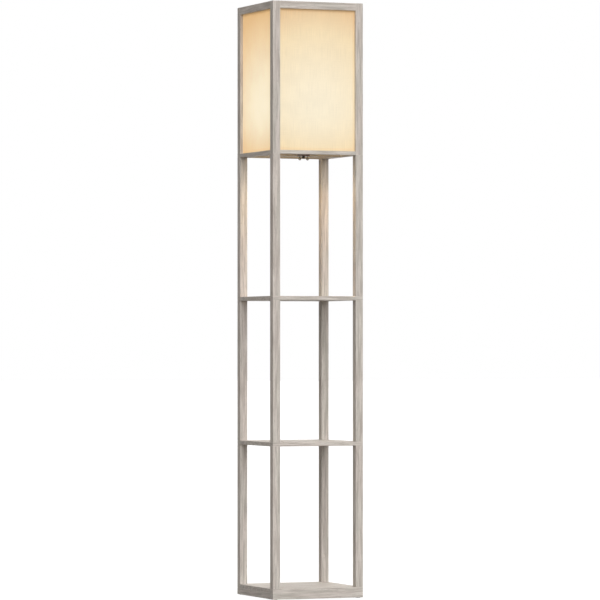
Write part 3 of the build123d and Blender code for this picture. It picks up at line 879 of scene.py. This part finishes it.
class SHELFLAMP_OT_bulb(bpy.types.Operator):
    """Makes the bulb: opal glass, threaded cap, collar and insulator"""

    bl_idname = "shelf_lamp.bulb"
    bl_label = "Bulb"

    def execute(self, context):
        bm = bmesh.new()
        lathe(bm, glass_outline(), steps=96)
        tidy(bm)
        glass = finish_piece(bm, "bulb_glass", "bulb", opal_glass())
        glass.visible_shadow = False  # the bulb's lamp stands inside the glass
        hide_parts("bulb_globe")

        low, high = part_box("bulb_screw_cap")
        crest = half_width("bulb_screw_cap")
        inner = crest - 1.5 * MM
        start = low.z + THREAD_START
        bm = bmesh.new()
        roll_thread(bm, crest, start)
        collar_r = crest - 0.15 * MM
        collar = [
            (crest - 0.5 * MM, start - 0.2 * MM),
            (collar_r, start + 0.2 * MM),
            (collar_r, start + 0.9 * MM),
            (inner, start + 0.9 * MM),
            (inner, start - 0.2 * MM),
        ]
        lathe(bm, collar)
        top = start + THREAD_PITCH * THREAD_TURNS
        rim_r = crest - 0.1 * MM
        rim = [
            (inner, top - 3.6 * MM),
            (crest - 0.2 * MM, top - 3.6 * MM),
            (rim_r, top - 3.0 * MM),
            (rim_r, high.z - 0.3 * MM),
            (crest - 0.4 * MM, high.z),
            (inner, high.z),
        ]
        lathe(bm, rim)
        tidy(bm)
        # Aluminium, rolled: pale, with the bright shine of a burnished thread
        thread = grained("Aluminium, rolled thread", "#C3C1BC", 0.6, 0.28, Metallic=1.0)
        cap = finish_piece(bm, "bulb_thread", "bulb", thread)
        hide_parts("bulb_screw_cap")

        tip = half_width("bulb_tip")
        cone = [
            (0, low.z),
            (tip + 0.2 * MM, low.z),
            (crest - 2.0 * MM, start - 1.2 * MM),
            (crest - 1.2 * MM, start),
            (0, start),
        ]
        bm = bmesh.new()
        lathe(bm, cone)
        tidy(bm)
        # Glass, pressed, between the thread and the tip: black, with a wet gloss
        insulator = grained("Glass, pressed black", "#17161A", 2, 0.12, 0.3, IOR=1.52)
        finish_piece(bm, "bulb_insulator", "bulb", insulator)

        # Lead-free solder on brass: a dull silvery tip
        solder = grained("Tin solder, as set", "#B3B0A8", 1.1, 0.42, relief_mm=0.05, Metallic=1.0)
        give_material(["bulb_tip"], solder)
        return {"FINISHED"}


def glass_outline():
    """Outline of the glass from the top down to the neck, and back inside it."""
    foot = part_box("bulb_globe")[0].z
    radius = half_width("bulb_globe")
    centre = bulb_centre().z
    neck = 13.8 * MM
    shoulder = -35
    shoulder_r = radius * cos(radians(shoulder))
    shoulder_z = centre + radius * sin(radians(shoulder))
    # A cone goes on straight from the sphere, at the slope of its 35 degrees, and two points on
    # it lead to the flare over the neck
    slope = 0.7002
    neck_z = shoulder_z - (shoulder_r - neck) / slope
    outline = [(0, centre + radius), *arc(0, centre, radius, 90, shoulder, 40)[1:]]
    for up, down in ((0.82, 0.18), (0.55, 0.45)):
        outline.append((shoulder_r * up + neck * down, shoulder_z * up + neck_z * down))
    outline += [
        (neck + 0.9 * MM, neck_z + 1.6 * MM),
        (neck + 0.2 * MM, neck_z - 1.0 * MM),
        (neck, neck_z - 3.5 * MM),
        (neck, foot + 0.3 * MM),
        (neck - 0.3 * MM, foot),
        (0, foot),
    ]
    return outline


def roll_thread(bm, crest, start):
    """Thread rolled in the sheet of the cap: one wave from crest to crest, wound upwards."""
    wave = []
    for index in range(THREAD_WAVE + 1):
        share = index / THREAD_WAVE
        dip = THREAD_DEPTH * (0.5 - 0.5 * cos(tau * share))
        wave.append(bm.verts.new((crest - dip, 0, start + THREAD_PITCH * share)))
    edges = [bm.edges.new(pair) for pair in zip(wave, wave[1:])]
    bmesh.ops.spin(
        bm,
        geom=wave + edges,
        cent=(0, 0, 0),
        axis=(0, 0, 1),
        dvec=(0, 0, THREAD_PITCH / THREAD_STEPS),
        angle=tau * (THREAD_TURNS - 1),
        steps=THREAD_STEPS * (THREAD_TURNS - 1),
        use_merge=False,
    )
    bmesh.ops.remove_doubles(bm, verts=bm.verts, dist=1e-6)
    bmesh.ops.recalc_face_normals(bm, faces=bm.faces)
    bmesh.ops.solidify(bm, geom=bm.faces, thickness=CAP_SHEET)


# ---------------- pull switch

# Heads of the two screws that hold the cover, and how far they stand in from its edges
SCREW_RADIUS = 1.7 * MM
SCREW_HEIGHT = 0.9 * MM
SCREW_INSET = 4 * MM
SPRING_WIRE = 0.25 * MM
SPRING_TURNS = 5
SPRING_STEPS = 24


class SHELFLAMP_OT_pull_switch(bpy.types.Operator):
    """Finishes the pull switch, its pulls, springs, screws and gland"""

    bl_idname = "shelf_lamp.pull_switch"
    bl_label = "Pull switch"

    def execute(self, context):
        fittings = context.scene.shelf_lamp_fittings
        # Phenolic, moulded: the brown of wood flour in the resin
        phenolic = grained("Phenolic, moulded brown", fittings.switch, 1.2, 0.38, 0.25, IOR=1.6)
        give_material(["switch_housing", "switch_cover"], phenolic)
        # Black nickel on brass: a dark warm grey, glossy, with light wear
        dark = fittings.nickel
        nickel = grained("Black nickel plate, bright", dark, 1.5, 0.2, 0.08, Metallic=1.0)
        give_material(["pull_guides", "left_pull", "right_pull"], nickel)
        # Rubber, moulded: dark and matt, a little dusty
        rubber = grained("Rubber, moulded", fittings.rubber, 0.8, 0.65, 0.3, IOR=1.52)
        give_material(["cord_gland"], rubber)

        # Two pan-head screws hold the cover
        low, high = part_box("switch_cover")
        rounded = arc(SCREW_RADIUS - SCREW_HEIGHT, 0, SCREW_HEIGHT, 0, 75, 4)
        outline = [(0, 0), (SCREW_RADIUS, 0), *rounded, (0, SCREW_HEIGHT)]
        bm = bmesh.new()
        for way_x in (-1, 1):
            before = set(bm.verts)
            lathe(bm, outline, steps=24)
            fresh = [v for v in bm.verts if v not in before]
            bmesh.ops.rotate(bm, cent=(0, 0, 0), matrix=LIE_DOWN, verts=fresh)
            x = way_x * (half_width("switch_cover") - SCREW_INSET)
            bmesh.ops.translate(bm, vec=(x, low.y, (low.z + high.z) / 2), verts=fresh)
        tidy(bm)
        # Zinc on steel: bluish, with a finer spangle than the studs
        zinc = grained("Steel, zinc plated screw", "#B0B4B8", 0.8, 0.33, Metallic=1.0)
        finish_piece(bm, "cover_screws", "lamp_frame", zinc)

        # Spring steel, drawn to wire: grey, with a soft shine
        drawn = grained("Spring steel, drawn", "#8E9093", 0.5, 0.3, Metallic=1.0)
        for side in ("left", "right"):
            self.wind_spring(side, drawn)
        return {"FINISHED"}

    def wind_spring(self, side, steel):
        """Makes a return spring at its length at rest; the real one closes up as its pull comes
        down.
        """
        node = f"{side}_pull_spring"
        low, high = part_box(node)
        place = middle_of(node)
        mean = half_width(node) - SPRING_WIRE
        rise = high.z - low.z - 2 * SPRING_WIRE
        steps = SPRING_TURNS * SPRING_STEPS
        bm = bmesh.new()
        bmesh.ops.create_circle(bm, cap_ends=True, segments=8, radius=SPRING_WIRE)
        bmesh.ops.rotate(bm, cent=(0, 0, 0), matrix=LIE_DOWN, verts=bm.verts)
        start = (place.x + mean, place.y, low.z + SPRING_WIRE)
        bmesh.ops.translate(bm, vec=start, verts=bm.verts)
        bmesh.ops.spin(
            bm,
            geom=bm.verts[:] + bm.edges[:] + bm.faces[:],
            cent=(place.x, place.y, 0),
            axis=(0, 0, 1),
            dvec=(0, 0, rise / steps),
            angle=tau * SPRING_TURNS,
            steps=steps,
            use_merge=False,
        )
        bmesh.ops.recalc_face_normals(bm, faces=bm.faces)
        spring = finish_piece(bm, f"{side}_spring_coil", "lamp_frame", steel)
        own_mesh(spring)
        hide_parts(node)


# ---------------- stage

# The camera stands off the front face by this turn, and looks up a little
CAMERA_DISTANCE = 10.585
CAMERA_TURN = radians(-22.21)
CAMERA_TILT = radians(90.67)
CAMERA_SHIFT = 0.00043
FLOOR_SIZE = 120
SKY_TINT = (1.0, 0.88, 0.72)
BULB_TINT = (1.0, 0.74, 0.44)
BULB_RADIUS = 26 * MM


class SHELFLAMP_OT_stage(bpy.types.Operator):
    """Makes the floor, the camera and the studio light"""

    bl_idname = "shelf_lamp.stage"
    bl_label = "Stage"

    def execute(self, context):
        scene = context.scene
        stage = scene.shelf_lamp_stage
        scene.view_settings.view_transform = "Standard"

        camera_data = bpy.data.cameras.new("camera")
        camera_data.lens = stage.lens
        camera_data.sensor_width = 36.0
        camera_data.shift_x = CAMERA_SHIFT
        camera_data.clip_end = 100.0
        camera = add_object("camera", camera_data)
        off_x, off_y = CAMERA_DISTANCE * sin(CAMERA_TURN), -CAMERA_DISTANCE * cos(CAMERA_TURN)
        camera.location = (off_x, off_y, stage.camera_height)
        camera.rotation_euler = (CAMERA_TILT, 0, CAMERA_TURN)
        scene.camera = camera

        ground = flat_sheet(FLOOR_SIZE, FLOOR_SIZE)
        add_mesh(ground, "floor", pale_floor(), smooth=False)

        world = bpy.data.worlds.new("studio")
        scene.world = world
        world.use_nodes = True
        tree = world.node_tree
        tree.nodes.clear()
        sky = opaque(SKY_TINT, stage.sky_strength)
        colour = mix(tree, seen_directly(tree), sky, WHITE)
        backdrop = add_node(tree, "ShaderNodeBackground", {"Color": colour})
        add_node(tree, "ShaderNodeOutputWorld", {"Surface": backdrop})

        # Three even, soft lights, each from its direction and as wide as its angle in degrees
        soft_lights = (
            ("key light", stage.key_strength, (0.985, 1.0, 1.02), (-0.165, -0.92, 0.34), 84),
            ("fill light", stage.fill_strength, (1.0, 0.97, 0.92), (0.75, 0.65, 0.25), 60),
            ("top light", stage.top_strength, (1.0, 0.98, 0.95), (0.05, 0.1, 1.0), 50),
        )
        for name, strength, tint, direction, angle in soft_lights:
            lamp = new_light(name, "SUN", strength * pi, tint)
            lamp.data.angle = radians(angle)
            lamp.rotation_euler = Vector(direction).to_track_quat("Z", "Y").to_euler()
            # Light from behind would glare on the boards, which are seen almost edge on
            lamp.visible_glossy = name != "fill light"

        # The bulb lights the inside of its box, and more strongly the frame below the open
        # floor, because there its light isn't spread by the shades
        inside = new_light("bulb light", "POINT", stage.bulb_power, BULB_TINT)
        below = new_light("bulb light below", "SPOT", stage.bulb_power_below, BULB_TINT)
        below.data.spot_size = radians(88)
        below.data.spot_blend = 0.7
        for lamp in (inside, below):
            lamp.location = bulb_centre()
            lamp.data.shadow_soft_size = BULB_RADIUS
        lit = bpy.data.collections.new("lit from the box")
        for name in ("upper_shelf", *(f"upper_leg_{corner}" for corner in CORNER_NAMES)):
            lit.objects.link(NODES[name])
        below.light_linking.receiver_collection = lit
        return {"FINISHED"}


def new_light(name, kind, energy, colour):
    data = bpy.data.lights.new(name, kind)
    data.energy = energy
    data.color = colour
    light = add_object(name, data)
    light.visible_camera = False
    return light


def seen_directly(tree):
    """1 for rays from the camera, a mirror or glass, which see the white backdrop."""
    total = 0.0
    for kind in ("Is Camera Ray", "Is Glossy Ray", "Is Transmission Ray"):
        ray = add_node(tree, "ShaderNodeLightPath", output=kind)
        total = compute(tree, "MAXIMUM", ray, total)
    return total


def pale_floor():
    """Paper backdrop, matt: white where it is seen, with the lamp's faint shadow on it."""
    material, tree = new_material("Paper backdrop, matt")
    place = add_node(tree, "ShaderNodeTexCoord", output="Object")
    fibres = add_node(
        tree, "ShaderNodeTexNoise", {"Vector": place, "Scale": 1 / (2 * MM), "Detail": 2.0}
    )
    paper = mix(tree, fibres, (0.1, 0.09, 0.08, 1), (0.11, 0.1, 0.09, 1))
    seen = seen_directly(tree)
    shown = mix(tree, seen, paper, (0.15, 0.15, 0.15, 1))
    glow = compute(tree, "MULTIPLY", seen, 0.9)
    surface = {"Base Color": shown, "Roughness": 0.9, "IOR": 1.3}
    lit = {"Emission Color": WHITE, "Emission Strength": glow}
    add_surface(tree, {**surface, **lit})
    return material


# ---------------- add-on

OPERATORS = (
    SHELFLAMP_OT_wooden_frame,
    SHELFLAMP_OT_frame_fasteners,
    SHELFLAMP_OT_glide_pads,
    SHELFLAMP_OT_shades,
    SHELFLAMP_OT_lamp_holder,
    SHELFLAMP_OT_bulb,
    SHELFLAMP_OT_pull_switch,
    SHELFLAMP_OT_stage,
)
SETTINGS = {
    "shelf_lamp_wood": ShelfLampWood,
    "shelf_lamp_shade": ShelfLampShade,
    "shelf_lamp_fittings": ShelfLampFittings,
    "shelf_lamp_stage": ShelfLampStage,
}


class SHELFLAMP_PT_pieces(bpy.types.Panel):
    """Sizes, colours and pieces of the lamp"""

    bl_label = "Shelf lamp"
    bl_space_type = "VIEW_3D"
    bl_region_type = "UI"
    bl_category = "Shelf lamp"

    def draw(self, context):
        for name, group in SETTINGS.items():
            box = self.layout.box()
            settings = getattr(context.scene, name)
            for field in group.__annotations__:
                box.prop(settings, field)
        for operator in OPERATORS:
            self.layout.operator(operator.bl_idname)


def register():
    for name, group in SETTINGS.items():
        bpy.utils.register_class(group)
        setattr(bpy.types.Scene, name, bpy.props.PointerProperty(type=group))
    for operator in OPERATORS:
        bpy.utils.register_class(operator)
    bpy.utils.register_class(SHELFLAMP_PT_pieces)


def unregister():
    bpy.utils.unregister_class(SHELFLAMP_PT_pieces)
    for operator in reversed(OPERATORS):
        bpy.utils.unregister_class(operator)
    for name, group in reversed(SETTINGS.items()):
        delattr(bpy.types.Scene, name)
        bpy.utils.unregister_class(group)


def main():
    register()
    bpy.ops.shelf_lamp.wooden_frame()
    bpy.ops.shelf_lamp.frame_fasteners()
    bpy.ops.shelf_lamp.glide_pads()
    bpy.ops.shelf_lamp.shades()
    bpy.ops.shelf_lamp.lamp_holder()
    bpy.ops.shelf_lamp.bulb()
    bpy.ops.shelf_lamp.pull_switch()
    bpy.ops.shelf_lamp.stage()


if __name__ == "__main__":
    main()
